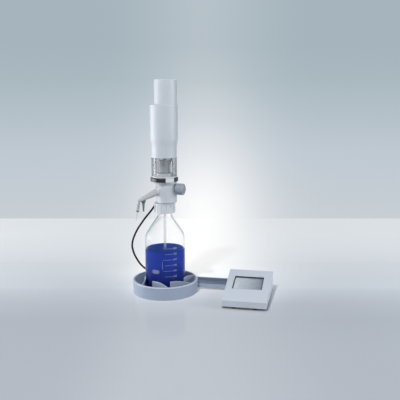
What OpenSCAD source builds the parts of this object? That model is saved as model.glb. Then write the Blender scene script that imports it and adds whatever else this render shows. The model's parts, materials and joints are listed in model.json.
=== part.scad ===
// Motor-driven dispenser on a laboratory bottle, with its stand, arm and touch console.
// Millimetres, +Z up. The origin is the centre of the stand's underside, the arm runs along +X
// and the console faces -Y.

/* [Stand] */
// Outer radius of the stand ring
ring_r = 82.6; // [80:0.1:90]
// Height of the stand ring
ring_h = 32; // [28:1:40]
// Wall of the stand ring
ring_wall = 3.5; // [3:0.5:5]
// Floor of the stand ring
floor_t = 2.5; // [2:0.5:4]
// Thickness of the rubber mat
mat_t = 1.5; // [1:0.5:3]
// Wall of the liner that carries the fins
insert_wall = 2; // [1.5:0.5:3]
// Number of centring fins
fin_count = 7; // [5:1:9]
// Thickness of a fin
fin_t = 2; // [1.5:0.5:3]
// Where the first fin leaves the liner, degrees from +X
fin_angle = 31; // [0:1:51]
// How far a fin's tip lies behind its root, degrees
fin_lag = 42; // [30:1:50]
// How far a fin bows out from its chord
fin_bow = 3.5; // [2:0.5:6]
// How far the tips stand above the liner
fin_rise = 5.5; // [4:0.5:12]

/* [Arm] */
// Front face of the arm, from the ring's axis
arm_y = 25; // [10:1:26]
// Width of the arm
arm_w = 32; // [26:1:32]
// Gap under the arm
arm_z = 4.5; // [4.5:0.5:6]
// Height of the front wall
arm_front_h = 9.5; // [9:0.5:12]
// Height of the back wall
arm_back_h = 18; // [15:0.5:19]
// Wall of the arm
arm_wall = 2.5; // [2:0.5:4]
// Floor of the arm
arm_floor = 2; // [1.5:0.5:2]
// Thickness of the strip that closes the arm
strip_t = 1.5; // [1:0.5:2]
// How deep the arm reaches into the console
arm_inset = 18; // [10:1:24]
// Where the cable enters the arm, from the ring's axis
arm_gland_x = 97; // [92:1:110]

/* [Console] */
// Middle of the console, from the ring's axis
console_x = 214.6; // [205:0.1:250]
// How far the console reaches behind the arm
console_behind = 5; // [4:1:12]
// Width of the console's front at its foot
console_w = 104.4; // [102:0.1:120]
// How far the sides part towards the back, degrees
console_flare = 1.3; // [0:0.1:4]
// How far the sides lean in, degrees
console_lean = 0.5; // [0:0.1:4]
// Depth of the console
console_d = 166; // [150:1:190]
// Height of the front edge above the feet
console_front_h = 16; // [15:0.5:24]
// Height of the back edge above the feet
console_back_h = 42.6; // [40:0.1:60]
// Height of the console feet
foot_h = 4; // [3:0.5:4]
// Radius of a console foot
foot_r = 6; // [4:0.5:8]
// Wall of the console
console_wall = 2.5; // [2:0.5:3]
// Height of the lower shell at its back
console_split_h = 13; // [11:0.5:14]
// Width of the screen window
screen_w = 70.5; // [60:0.5:76]
// Depth of the screen window, up the slope
screen_d = 65; // [50:0.5:68]
// How far the screen window lies left of the console's middle
screen_shift = 0.8; // [-2:0.1:2]
// Front edge of the screen window, up the slope
screen_v = 63.8; // [58:0.1:66]
// Thickness of the touch glass
glass_t = 1.6; // [1:0.1:2]
// Thickness of the display module
display_t = 5; // [3:0.5:6]

/* [Bottle] */
// Radius of the bottle
bottle_r = 50.5; // [48:0.5:54]
// Height of the bottle
bottle_h = 218; // [216:1:224]
// Wall of the bottle
bottle_wall = 2.8; // [2:0.1:4]
// Thickness of the bottle's bottom
bottle_base_t = 4; // [3:0.5:6]
// Height of the straight side
side_h = 133; // [126:1:134]
// Radius where the side turns into the shoulder
shoulder_round = 32; // [26:1:36]
// Steepness of the shoulder, degrees from the axis
shoulder_slope = 34; // [33:1:40]
// Radius of the neck
neck_r = 18.5; // [18:0.1:19.5]
// Radius where the shoulder turns into the neck
neck_round = 10; // [6:1:12]
// Height of the liquid above the bottle's foot
fill_h = 106.5; // [40:0.5:120]

/* [Collar and valve block] */
// Outer radius of the collar
collar_r = 26.4; // [26:0.1:30]
// Height of the collar
collar_h = 23.8; // [20:0.1:24.5]
// Number of grip flutes on the collar
flute_count = 16; // [12:1:24]
// Radius of the valve block
block_r = 26; // [25:0.5:30]
// How far the block stands off the bottle's axis
block_shift = 5.5; // [4:0.5:7]
// Height of the valve block
block_h = 54; // [52:1:60]
// Radius of the valve plug
plug_r = 7; // [6.5:0.1:7.5]
// Height of the plug's axis above the block's underside
plug_h = 36.3; // [35:0.1:38]
// Radius of the knob
knob_r = 14.25; // [12:0.25:15]
// Length of the knob
knob_l = 22; // [18:1:26]
// Radius of the suction ball
ball_r = 4.4; // [4:0.1:4.8]
// Lift of the suction ball
ball_lift = 2; // [1:0.1:2.5]
// Radius of the dip tube
dip_r = 4; // [3.5:0.1:4.2]
// Wall of the dip tubes
dip_wall = 1.2; // [0.8:0.1:1.5]
// Height of the lower dip tube's end above the bottle's foot
dip_end_h = 10; // [8:1:20]
// Length of the lower dip tube
dip_lower_l = 96; // [80:1:110]
// How far the two dip tubes overlap
dip_overlap = 50; // [45:1:60]

/* [Discharge] */
// How far the elbow stands from the bottle's axis
spout_reach = 78; // [70:1:90]
// Turn of the discharge arm from the knob's line, degrees
spout_turn = 65; // [55:1:75]
// Slope of the discharge arm, degrees
spout_slope = 16; // [14:0.1:20]
// Radius of the discharge arm at its root
spout_root_r = 8.8; // [8:0.1:10]
// Radius of the discharge arm at its elbow
spout_end_r = 4; // [3.5:0.1:5]
// Radius of the nozzle
nozzle_r = 3.8; // [3.6:0.1:5]
// Length of the nozzle
nozzle_l = 24; // [18:1:30]
// Outward lean of the nozzle, degrees
nozzle_lean = 13; // [0:1:16]
// Length of capillary below the nozzle
capillary_l = 20; // [10:1:30]
// How far the tip cap is parked from the elbow
cap_back = 12; // [11:1:16]
// Length of the tip cap
cap_l = 26; // [22:1:30]

/* [Dosing cylinder] */
// Radius of the lock ring
lock_r = 34.3; // [33.5:0.1:38]
// Height of the lock ring
lock_h = 10.6; // [8:0.1:14]
// Radius of the spigot that the lock ring turns on
spigot_r = 24.5; // [23:0.1:25]
// Width of the release button
button_w = 22.6; // [16:0.1:24]
// Travel of the release button
button_travel = 1.2; // [0.8:0.1:1.5]
// Where the release button sits, degrees from the knob's axis
button_angle = -39; // [-60:1:-20]
// Radius of the clear sleeve
sleeve_r = 31.6; // [31.4:0.1:33]
// Wall of the clear sleeve
sleeve_wall = 2.2; // [1.5:0.1:2.5]
// Height of the clear sleeve
sleeve_h = 46; // [40:1:60]
// Radius of the piston
piston_r = 13.5; // [12:0.1:14]
// Length of the piston
piston_l = 30; // [24:1:34]
// Stroke of the piston
stroke = 40; // [30:1:40]
// Wall of the glass barrel
barrel_wall = 3; // [2:0.1:3.4]

/* [Drive] */
// Distance of a guide rod from the axis
guide_x = 24; // [23:0.1:24.5]
// Radius of a guide rod
guide_r = 2.5; // [2:0.1:2.5]
// Radius of the lead screw
screw_r = 4; // [3:0.1:4.2]
// Radius of the piston rod
rod_r = 6.5; // [6.2:0.1:8]
// Thickness of the carriage
carriage_t = 6; // [4:0.5:8]
// Radius of the motor
motor_r = 18; // [15:0.5:18]
// Length of the motor
motor_l = 42; // [30:1:44]

/* [Housing] */
// Radius of the drive housing
housing_r = 34.3; // [34:0.1:38]
// Radius of the drive housing's lower end
housing_low_r = 31.4; // [31:0.1:33]
// Height of the drive housing
housing_h = 128; // [127:1:150]
// Height of the housing's narrow lower end
housing_low_h = 27.5; // [26:0.5:32]
// Height of the taper above it
taper_h = 17.5; // [12:0.5:24]
// Wall of the housing and its cover
housing_wall = 2.5; // [2:0.1:2.6]
// Radius of the upper cover
cover_r = 28; // [28:0.1:29]
// How far the upper cover stands off the axis
cover_shift = 5.3; // [4:0.1:6]
// Height of the upper cover
cover_h = 60; // [58:1:80]
// How far the head is turned on the bottle, degrees
head_turn = 11.4; // [0:0.1:30]

/* [Cable] */
// Diameter of the cable
cable_d = 5; // [4:0.1:5.6]

/* [Hidden] */
$fn = 64;

// Fits: a seat that stays put, a shaft that runs, pieces that slide past each other, and the
// overshoot of every cut.
seat = 0.05;
run = 0.05;
clear = 0.3;
cut = 1;

// Colours
shell_white = [0.90, 0.92, 0.94];
block_grey = [0.80, 0.82, 0.85];
stand_grey = [0.74, 0.77, 0.83];
spout_grey = [0.76, 0.76, 0.73];
knob_grey = [0.52, 0.55, 0.60];
dark_grey = [0.28, 0.29, 0.31];
black = [0.06, 0.06, 0.08];
steel = [0.72, 0.73, 0.75];
glass_clear = [0.85, 0.92, 0.95, 0.35];
board_green = [0.10, 0.35, 0.22];

// Stand
ring_in = ring_r - ring_wall;
insert_r = ring_in - clear;
mat_top = floor_t + mat_t;
insert_drop = 0.3;
insert_top = ring_h - insert_drop;
mat_r = insert_r - insert_wall - clear;
fin_root_r = insert_r - insert_wall / 2;
fin_gap = 0.5;
fin_tip_r = bottle_r + fin_gap + fin_t / 2;
fin_root = [fin_root_r, 0];
fin_tip = fin_tip_r * [cos(fin_lag), -sin(fin_lag)];
fin_chord = norm(fin_tip - fin_root);
fin_sweep = 4 * atan(2 * fin_bow / fin_chord);
fin_round = fin_chord / (2 * sin(fin_sweep / 2));
fin_left = [fin_root.y - fin_tip.y, fin_tip.x - fin_root.x] / fin_chord;
fin_centre = (fin_root + fin_tip) / 2 + fin_left * fin_round * cos(fin_sweep / 2);
fin_from = atan2(fin_root.y - fin_centre.y, fin_root.x - fin_centre.x);

// Arm
arm_end = console_x - console_w / 2 + arm_inset;
arm_back = arm_y + arm_w;
strip_drop = 0.5;
strip_z = arm_z + arm_front_h - strip_t - strip_drop;
ledge = 1.5;
arm_gland_hole = 3.2;
arm_gland_z = (arm_z + arm_floor + strip_z) / 2;
arm_flange_r = 5;
arm_flange_t = 2;
arm_boot_l = 10;
arm_boot_r = 4.2;
boot_wall = 0.8;
lead_y = arm_y + arm_w / 2;

// Console
console_y = arm_back + console_behind - console_d;
console_z = foot_h;
console_top_front = console_z + console_front_h;
console_top_back = console_z + console_back_h;
console_slope = atan((console_back_h - console_front_h) / console_d);
split_front = console_z + console_wall;
split_back = console_z + console_split_h;
lip_t = 1.5;
lip_h = 2;
glass_margin = 3;
display_margin = 1.5;
screen_x = -screen_w / 2 - screen_shift;
light_w = 12;
light_d = 2.4;
light_gap = 5;
board_x = -24;
board_w = 66;
board_d = 90;
board_t = 1.6;
post_r = 3;
post_in = 5;
post_h = 9.5;
board_z = console_z + console_wall + post_h;
plug_box = [8, 10, 8];
plug_gap = 2;
plug_y = lead_y - console_y - plug_box.y / 2;
board_y = plug_y + plug_box.y + plug_gap + post_r + post_in - board_d;
socket_x = -29.8;
socket_r = 5;
socket_l = 10;
socket_wall = 2;
socket_pin_r = 1;
socket_rise = 8;
socket_z = split_back + socket_rise;
foot_gap = 3;
foot_x = console_w / 2 - arm_inset - foot_r - foot_gap;
foot_in = 6;
foot_end = foot_in + foot_r;

// Bottle
bottle_z = mat_top;
bottle_top = bottle_z + bottle_h;
side_top = bottle_z + side_h;
turn_in = [bottle_r - shoulder_round, side_top];
shoulder_l = ((shoulder_round + neck_round) * cos(shoulder_slope) - (neck_r + neck_round - turn_in.x))
    / sin(shoulder_slope);
turn_out = [neck_r + neck_round, side_top + (shoulder_round + neck_round) * sin(shoulder_slope)
    + shoulder_l * cos(shoulder_slope)];
foot_round = 9;
punt = 1.5;
punt_rim = 14;
punt_r = bottle_r - punt_rim;
bottle_in = bottle_r - bottle_wall;
inner_round = 8;
inner_floor = bottle_z + bottle_base_t;
fill_z = bottle_z + fill_h;
bead_w = 3.7;
bead_r = neck_r + bead_w;
bead_count = 2;
bead_pitch = 6;
bead_h = 3;
bead_edge = 0.8;
bead_drop = 14;
bead_from = bottle_top - bead_drop;

// Collar and valve block, stacked on the bottle's lip
gasket_t = 1.2;
gasket_lap = 2;
gasket_in = neck_r - bottle_wall - gasket_lap;
retainer_t = 1.6;
retainer_rim = 0.5;
collar_lip = 2.8;
float = 0.2;
retainer_z = bottle_top + gasket_t;
retainer_r = neck_r + retainer_rim;
hub_r = 16;
hub_z = retainer_z + retainer_t;
lip_z = hub_z + float;
collar_top = lip_z + collar_lip;
collar_z = collar_top - collar_h;
thread_gap = 0.4;
collar_bore = bead_r + thread_gap;
flute_r = 3.5;
flute_depth = 1.3;
block_z = collar_top + float;
block_top = block_z + block_h;
block_chamfer = 3.5;
block_flange = 5;
block_rim = 1.5;
block_face = block_shift + block_r;
plug_z = block_z + plug_h;
plug_back = 9;
plug_recess = 0.5;
port_r = 2.5;
stem_r = 4;
stem_l = 15.5;
knob_gap = 1;
knob_edge = 6;
knob_edge_l = 3;
knob_x = block_face + knob_gap;
seat_r = 5.5;
seat_bore = 3;
seat_rise = 12;
seat_top = block_z + seat_rise;
ball_z = seat_top + sqrt(ball_r * ball_r - seat_bore * seat_bore) + run;
chamber_gap = 0.6;
chamber_top = ball_z + ball_r + ball_lift + chamber_gap;
dip_socket = 8;
dip_top = hub_z + dip_socket;
dip_room = 2;
dip_lower_z = bottle_z + dip_end_h;
dip_lower_top = dip_lower_z + dip_lower_l;
dip_lower_bore = dip_r + run;
dip_lower_r = dip_lower_bore + dip_wall;

// Discharge
spout_start = 29;
boss_from = 4;
boss_bend = 18;
boss_r = 12.5;
boss_rim = 0.6;
spout_socket_r = 6;
cartridge_from = 12.5;
cartridge_l = 5;
spout_l = spout_reach / cos(spout_slope);
elbow_z = plug_z - spout_reach * tan(spout_slope);
elbow_swell = 0.3;
elbow_r = spout_end_r + elbow_swell;
spout_bore = 1.5;
elbow_bore = 1.8;
stub_r = 2.5;
nozzle_top = -spout_end_r;
nozzle_z = nozzle_top - nozzle_l;
nozzle_foot = 4;
stub_gap = 6;
stub_l = nozzle_l - nozzle_foot - stub_gap;
band_t = 0.5;
band_h = 3;
band_rise = 0.5;
capillary_r = 0.9;
capillary_bore = 0.5;
capillary_head_r = 1.3;
spout_taper = atan((spout_root_r - spout_end_r) / (spout_l - spout_start));
cap_x = spout_reach - cap_back;
cap_s = cap_x / cos(spout_slope);
cap_spout_r = spout_root_r - (cap_s - spout_start) * tan(spout_taper);
cap_under = plug_z - cap_x * tan(spout_slope) - cap_spout_r / cos(spout_slope);
cap_tilt = spout_slope - spout_taper;
cap_head_r = 6.1;
cap_neck_r = 3.4;
cap_tip_r = 1.8;
cap_head_h = 6.5;
cap_rim = cap_head_r * tan(cap_tilt);
cap_z = cap_under - clear - cap_l;
peg_r = 2;
peg_l = 10;

// Dosing cylinder
lock_z = block_top + float;
lock_bore = spigot_r + run;
lock_wall = 2.4;
button_in = lock_bore + lock_wall + button_travel + clear;
flange_z = lock_z + lock_h + float;
flange_t = 3;
sleeve_z = flange_z + flange_t;
sleeve_top = sleeve_z + sleeve_h;
sleeve_in = sleeve_r - sleeve_wall;
piston_fit = 0.08;
barrel_in = piston_r + piston_fit;
barrel_r = barrel_in + barrel_wall;
barrel_rise = 2;
barrel_z = sleeve_z + barrel_rise;
barrel_boss_wall = 3.4;
barrel_boss_r = barrel_r + barrel_boss_wall;
barrel_boss_h = 5;
fill_boss_r = barrel_in - clear;
fill_boss_h = 4;
piston_gap = 2;
piston_z = barrel_z + fill_boss_h + piston_gap;
piston_top = piston_z + piston_l;
barrel_spare = 4;
barrel_top = piston_top + stroke + barrel_spare;
flow_r = 3;
seal_h = 3;
seal_r = piston_r + piston_fit / 2;
seal_depth = 2.5;
seal_in = piston_r - seal_depth;
seal_rise = 2;
seal_z = piston_z + seal_rise;
rod_socket = 6;
screw_gap = 0.5;
rod_bore = screw_r + screw_gap;
holder_t = 6;
holder_drop = 14;
holder_z = barrel_top - holder_drop;

// Drive
rod_seat = 2;
carriage_gap = 6;
carriage_z = barrel_top + carriage_gap;
rod_z = piston_top - rod_socket;
rod_floor = 8;
carriage_hub_r = 14;
carriage_ear_r = 6;
bush_wall = 2;
bush_flange = 1;
bush_rim = 1;
nut_z = carriage_z + carriage_t;
nut_flange_t = 4;
nut_flange_r = 11;
nut_wall = 3;
nut_r = screw_r + nut_wall;
nut_l = 14;
nut_spare = 4;
screw_end = 2;
plate_z = nut_z + nut_l + stroke + nut_spare;
plate_t = 8;
plate_lip = 1;
plate_gap = 2;
bearing_r = 11;
plate_top = plate_z + plate_t;
coupling_z = plate_top + plate_gap;
coupling_l = 16;
coupling_r = 8.5;
coupling_half = 8;
shaft_r = 2.5;
shaft_gap = 1;
motor_plate_t = 3;
motor_plate_z = coupling_z + coupling_l + shaft_gap;
motor_z = motor_plate_z + motor_plate_t;
motor_boss_r = 8;
shaft_in = 22;
motor_plate_rim = 1;
motor_plate_r = motor_r + motor_plate_rim;
standoff_xy = 11;
standoff_r = 2.5;
circuit_gap = 4;
circuit_x = motor_r + circuit_gap;
circuit_w = 28;
circuit_h = 40;
circuit_tab = [3, 18];
chip = [2, 8, 6];
chip_count = 3;
chip_rise = 6;
chip_pitch = 11;

// Housing
housing_z = sleeve_top;
housing_top = housing_z + housing_h;
housing_in = housing_r - housing_wall;
housing_low_in = housing_low_r - housing_wall;
taper_z = housing_z + housing_low_h;
taper_top = taper_z + taper_h;
edge = 1.2;
cover_in = cover_r - housing_wall;
cover_lip_h = 4;
cover_lip_t = 1.7;
gland_h = 12;
gland_z = housing_z + gland_h;
gland_boss_r = 8;
gland_boss_step = 2;
gland_boss_in = housing_low_in - gland_boss_step;
gland_face = housing_low_r + gland_boss_step;
gland_thread_r = 5;
gland_flange_r = 7.5;
gland_flange_t = 3;
gland_boot_l = 15;
gland_nut_t = 3.5;

// Cable route: it leaves the head's gland, hangs to the left behind the bottle and lies on the
// table behind the stand until it turns into the arm's grommet.
cable_sides = 8;
cable_step = 1.8 * cable_d;
lead_d = 3.6;
cable_run = 5;
lead_turn = 10;
lead_straight = 24;
head_out = [sin(head_turn), cos(head_turn), 0];
head_exit = (gland_face + gland_flange_t + gland_boot_l) * head_out + [0, 0, gland_z];
arm_out = [0, 1, 0];
arm_exit = [arm_gland_x, arm_back + arm_flange_t + arm_boot_l, arm_gland_z];
cable_points = [
    [10.5, 66, 352.5], [6, 75.5, 346], [0, 81, 335], [-6, 82, 321], [-11.5, 80, 305], [-16, 76, 287],
    [-20, 71, 268], [-25, 64, 246], [-43, 53, 207], [-74, 55, 167], [-97, 56, 130], [-107, 60, 100],
    [-106, 65, 80], [-98, 71, 57], [-83, 78, 34], [-58, 93, 14], [-20, 106, 4.5], [30, 108, 3],
    [70, 100, 3.2], [92, 87, 6]
];
cable_route = concat([head_exit, head_exit + cable_run * head_out], cable_points,
    [arm_exit + cable_run * arm_out, arm_exit]);
lead_route = [
    [arm_gland_x, arm_back - arm_wall, arm_gland_z],
    [arm_gland_x, arm_back - arm_wall - cable_run, arm_gland_z],
    [arm_gland_x + lead_turn, lead_y, arm_gland_z],
    [arm_gland_x + lead_straight, lead_y, arm_gland_z],
    [console_x + board_x - cable_run, lead_y, arm_gland_z],
    [console_x + board_x, lead_y, arm_gland_z]
];

// Points of an arc about c, from angle a to angle b in n steps
function arc(c, r, a, b, n) = [for (i = [0:n])
    let (t = a + (b - a) * i / n) c + r * [cos(t), sin(t)]];

// The list p backwards
function reversed(p) = [for (i = [len(p) - 1:-1:0]) p[i]];

// Side and shoulder of the bottle up to its neck, set in by a wall t
function shoulder(t) = concat(
    arc(turn_in, shoulder_round - t, 0, shoulder_slope, 8),
    arc(turn_out, neck_round + t, 180 + shoulder_slope, 180, 6));

// Inner corner of the bottle's bottom, set in by a gap g
function inner_corner(g) = arc(
    [bottle_in - inner_round, inner_floor + inner_round], inner_round - g, -90, 0, 6);

// Vector v at length 1
function unit(v) = v / norm(v);

// Point at t on the smooth curve between b and c, with neighbours a and d
function blend(a, b, c, d, t) = 0.5 * (2 * b + (c - a) * t + (2 * a - 5 * b + 4 * c - d) * t * t
    + (3 * b - a - 3 * c + d) * t * t * t);

// Smooth curve through the points p, in steps of about the given length
function curve(p, step) = concat(
    [for (i = [0:len(p) - 2])
        let (n = max(1, round(norm(p[i + 1] - p[i]) / step)))
        for (k = [0:n - 1])
            blend(p[max(i - 1, 0)], p[i], p[i + 1], p[min(i + 2, len(p) - 1)], k / n)],
    [p[len(p) - 1]]);

// Round tube swept along the curve through p, with square ends
module swept_tube(p, d, sides, step) {
    q = curve(p, step);
    n = len(q);
    side = [-0.6, 0.5, 0.6];
    ring = [for (j = [0:n - 1])
        let (t = unit(j == 0 ? p[1] - p[0]
                : j == n - 1 ? p[len(p) - 1] - p[len(p) - 2] : q[j + 1] - q[j - 1]),
             u = unit(cross(t, side)),
             v = cross(t, u))
        for (i = [0:sides - 1]) q[j] + d / 2 * (cos(360 * i / sides) * u + sin(360 * i / sides) * v)];
    walls = [for (j = [0:n - 2]) for (i = [0:sides - 1])
        let (a = j * sides + i, b = j * sides + (i + 1) % sides)
        each [[a, a + sides, b + sides], [a, b + sides, b]]];
    ends = [[for (i = [0:sides - 1]) i], [for (i = [sides - 1:-1:0]) (n - 1) * sides + i]];
    polyhedron(ring, concat(walls, ends));
}

// Upright tube
module tube(r, bore, z, h) {
    translate([0, 0, z]) difference() {
        cylinder(r = r, h = h);
        translate([0, 0, -cut]) cylinder(r = bore, h = h + 2 * cut);
    }
}

// Upright rod
module rod(r, z, h) {
    translate([0, 0, z]) cylinder(r = r, h = h);
}

// Rod along +X from x
module rod_x(r, x, l) {
    translate([x, 0, 0]) rotate([0, 90, 0]) cylinder(r = r, h = l);
}

// Rod along +Y from y
module rod_y(r, y, l) {
    translate([0, y, 0]) rotate([-90, 0, 0]) cylinder(r = r, h = l);
}

// Slab with round upright corners
module rounded_slab(w, d, h, r) {
    translate([r, 0, 0]) cube([w - 2 * r, d, h]);
    translate([0, r, 0]) cube([w, d - 2 * r, h]);
    for (x = [r, w - r], y = [r, d - r]) translate([x, y, 0]) cylinder(r = r, h = h);
}

// The head's own frame, turned on the bottle: knob along +X, gland along +Y
module on_head() {
    rotate([0, 0, -head_turn]) children();
}

// The spout's own frame, turned on the head: spout along -X
module on_spout() {
    on_head() rotate([0, 0, spout_turn]) children();
}

// In the head's frame, along the spout's axis, s from the plug's centre
module along_spout(s) {
    rotate([0, 0, spout_turn]) translate([0, 0, plug_z]) rotate([0, -90 - spout_slope, 0])
        translate([0, 0, s]) children();
}

// At the spout's elbow, Z up along the leaning nozzle
module at_elbow() {
    on_spout() translate([-spout_reach, 0, elbow_z]) rotate([0, nozzle_lean, 0]) children();
}

// Both guide rods' places
module at_guides() {
    for (x = [-guide_x, guide_x]) translate([x, 0, 0]) children();
}

// Moulded ring with its floor and a rounded rim
module stand_ring() {
    color(stand_grey) {
        rod(ring_r, 0, floor_t);
        tube(ring_r, ring_in, 0, ring_h - ring_wall / 2);
        translate([0, 0, ring_h - ring_wall / 2]) rotate_extrude() translate([ring_r - ring_wall / 2, 0])
            circle(d = ring_wall);
    }
}

// Rubber mat that the bottle stands on
module base_mat() {
    color(black) rod(mat_r, floor_t, mat_t);
}

// Liner with curved fins that lean on the bottle, their tips above the rim
module centring_insert() {
    color(stand_grey) {
        tube(insert_r, insert_r - insert_wall, floor_t, insert_top - floor_t);
        intersection() {
            rotate_extrude() polygon([
                [0, mat_top + clear], [fin_root_r, mat_top + clear], [fin_root_r, insert_top],
                [fin_tip_r, insert_top + fin_rise], [0, insert_top + fin_rise]]);
            for (i = [0:fin_count - 1]) rotate(fin_angle + 360 * i / fin_count)
                translate(fin_centre) rotate(fin_from) rotate_extrude(angle = fin_sweep)
                    translate([fin_round - fin_t / 2, 0]) square([fin_t, insert_top + fin_rise]);
        }
    }
}

// Open channel with a low front wall, a high back wall and ledges for its strip
module arm_channel() {
    color(stand_grey) difference() {
        rotate([90, 0, 90]) linear_extrude(arm_end) {
            translate([arm_y, arm_z]) square([arm_w, arm_floor]);
            translate([arm_y, arm_z]) square([arm_wall, arm_front_h]);
            translate([arm_back - arm_wall, arm_z]) square([arm_wall, arm_back_h]);
            for (y = [arm_y + arm_wall, arm_back - arm_wall - ledge]) translate([y, strip_z - ledge])
                square(ledge);
        }
        rod(ring_r + clear, 0, ring_h);
        translate([arm_gland_x, 0, arm_gland_z]) rod_y(arm_gland_hole + seat, lead_y, arm_w);
    }
}

// Dark strip that closes the channel up to the console, with an upstand along the back wall
module arm_cover() {
    strip_end = arm_back - arm_wall - seat;
    color(dark_grey) difference() {
        rotate([90, 0, 90]) linear_extrude(console_x - console_w / 2) {
            translate([arm_y + arm_wall + seat, strip_z])
                square([arm_w - 2 * arm_wall - 2 * seat, strip_t]);
            translate([strip_end - strip_t, strip_z])
                square([strip_t, arm_z + arm_back_h - strip_z - strip_drop]);
        }
        rod(ring_r + clear, 0, ring_h);
    }
}

// Grommet in the arm's back wall, with a boot that the cable meets
module arm_gland() {
    color(black) translate([arm_gland_x, 0, arm_gland_z]) {
        rod_y(arm_gland_hole, arm_back - arm_wall, arm_wall);
        rod_y(arm_flange_r, arm_back, arm_flange_t);
        translate([0, arm_back + arm_flange_t, 0]) rotate([-90, 0, 0])
            cylinder(r1 = arm_boot_r, r2 = cable_d / 2 + boot_wall, h = arm_boot_l);
    }
}

// Lead from the grommet through the arm to the console's circuit board
module duct_lead() {
    color(black) swept_tube(lead_route, lead_d, cable_sides, cable_step);
}

// Wedge of the console, set in by a wall and raised by a floor, X from its middle
module console_wedge(wall, floor) {
    drop = wall / cos(console_slope);
    rise = wall * tan(console_slope);
    low = console_z + floor;
    reach = 3 * console_d;
    difference() {
        translate([-console_w, 0, 0]) rotate([90, 0, 90]) linear_extrude(2 * console_w) polygon([
            [wall, low], [console_d - wall, low], [console_d - wall, console_top_back - rise - drop],
            [wall, console_top_front + rise - drop]]);
        for (side = [-1, 1]) translate([side * console_w / 2, 0, console_z])
            rotate([0, 0, -side * console_flare]) rotate([0, -side * console_lean, 0])
                translate([side * (reach / 2 - wall), 0, 0]) cube(reach, center = true);
    }
}

// Space that the arm's end takes in the console, in the console's frame
module arm_notch() {
    translate([-console_w, arm_y - console_y - clear, 0])
        cube([console_w / 2 + arm_inset + clear, arm_w + 2 * clear, arm_z + arm_back_h + clear]);
}

// The sloping face of the console: X across, Y up the slope, Z out of it
module on_slope() {
    translate([0, 0, console_top_front]) rotate([console_slope, 0, 0]) children();
}

// Shell of the console between the insets a and b, from low to high off its rising parting line
module console_ring(a, b, floor, low, high) {
    intersection() {
        difference() {
            console_wedge(a, 0);
            console_wedge(b, floor);
        }
        translate([-console_w, 0, 0]) rotate([90, 0, 90]) linear_extrude(2 * console_w) polygon([
            [0, split_front + low], [console_d, split_back + low],
            [console_d, split_back + high], [0, split_front + high]]);
    }
}

// Corner places of the circuit board, in the console's frame
module at_posts() {
    for (x = [board_x + post_in, board_x + board_w - post_in])
        for (y = [board_y + post_in, board_y + board_d - post_in]) translate([x, y, 0]) children();
}

// Lower shell with posts for the board and a lip inside the upper shell
module console_base() {
    lip_in = console_wall + clear;
    color(shell_white) translate([console_x, console_y, 0]) difference() {
        union() {
            console_ring(0, console_wall, console_wall, -console_d, 0);
            at_posts() rod(post_r, console_z + console_wall / 2, post_h + console_wall / 2);
            console_ring(console_wall / 2, lip_in + lip_t, -cut, -lip_h, 0);
            console_ring(lip_in, lip_in + lip_t, -cut, -lip_h / 2, lip_h);
        }
        arm_notch();
    }
}

// Upper shell with the screen window, the light's slot and the socket's hole
module console_top() {
    bevel = console_wall / 2;
    color(shell_white) translate([console_x, console_y, 0]) difference() {
        console_ring(0, console_wall, console_wall, 0, console_back_h);
        arm_notch();
        on_slope() {
            translate([screen_x, screen_v, -2 * console_wall]) cube([screen_w, screen_d, 3 * console_wall]);
            translate([screen_x - bevel, screen_v - bevel, -bevel])
                cube([screen_w + 2 * bevel, screen_d + 2 * bevel, console_wall]);
            translate([0, 0, -2 * console_wall]) light_bar(seat, 3 * console_wall);
        }
        translate([socket_x, 0, socket_z]) rod_y(socket_r + seat, console_d - 2 * console_wall,
            3 * console_wall);
    }
}

// Rounded bar beside the screen, wider by a gap g
module light_bar(g, h) {
    x = screen_x + screen_w - light_w;
    y = screen_v + screen_d + light_gap;
    translate([x - g, y - g, 0]) rounded_slab(light_w + 2 * g, light_d + 2 * g, h, light_d / 2 - seat);
}

// Glass plate under the window
module touch_glass() {
    color(dark_grey) translate([console_x, console_y, 0]) on_slope()
        translate([screen_x - glass_margin, screen_v - glass_margin, -console_wall - glass_t])
            cube([screen_w + 2 * glass_margin, screen_d + 2 * glass_margin, glass_t]);
}

// Display module behind the glass
module display_panel() {
    color(steel) translate([console_x, console_y, 0]) on_slope()
        translate([screen_x - display_margin, screen_v - display_margin,
            -console_wall - glass_t - display_t])
            cube([screen_w + 2 * display_margin, screen_d + 2 * display_margin, display_t]);
}

// Circuit board on its posts, with the plug box that the lead meets
module control_board() {
    color(board_green) translate([console_x, console_y, 0]) {
        translate([board_x, board_y, board_z]) cube([board_w, board_d, board_t]);
        translate([board_x, plug_y, board_z - plug_box.z]) cube(plug_box);
    }
}

// Four round feet
module console_feet() {
    color(black) translate([console_x, console_y, 0])
        for (x = [-foot_x, foot_x], y = [foot_end, console_d - foot_end])
            translate([x, y, 0]) rod(foot_r, 0, foot_h);
}

// Light bar, flush with the sloping face
module status_light() {
    color(glass_clear) translate([console_x, console_y, 0]) on_slope()
        translate([0, 0, -console_wall]) light_bar(0, console_wall);
}

// Round power inlet in the console's back wall
module power_socket() {
    color(black) translate([console_x + socket_x, console_y + console_d, socket_z]) difference() {
        rod_y(socket_r, -socket_l, socket_l);
        difference() {
            rod_y(socket_r - socket_wall, socket_wall - socket_l, socket_l);
            rod_y(socket_pin_r, -socket_l, socket_l - cut);
        }
    }
}

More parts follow.
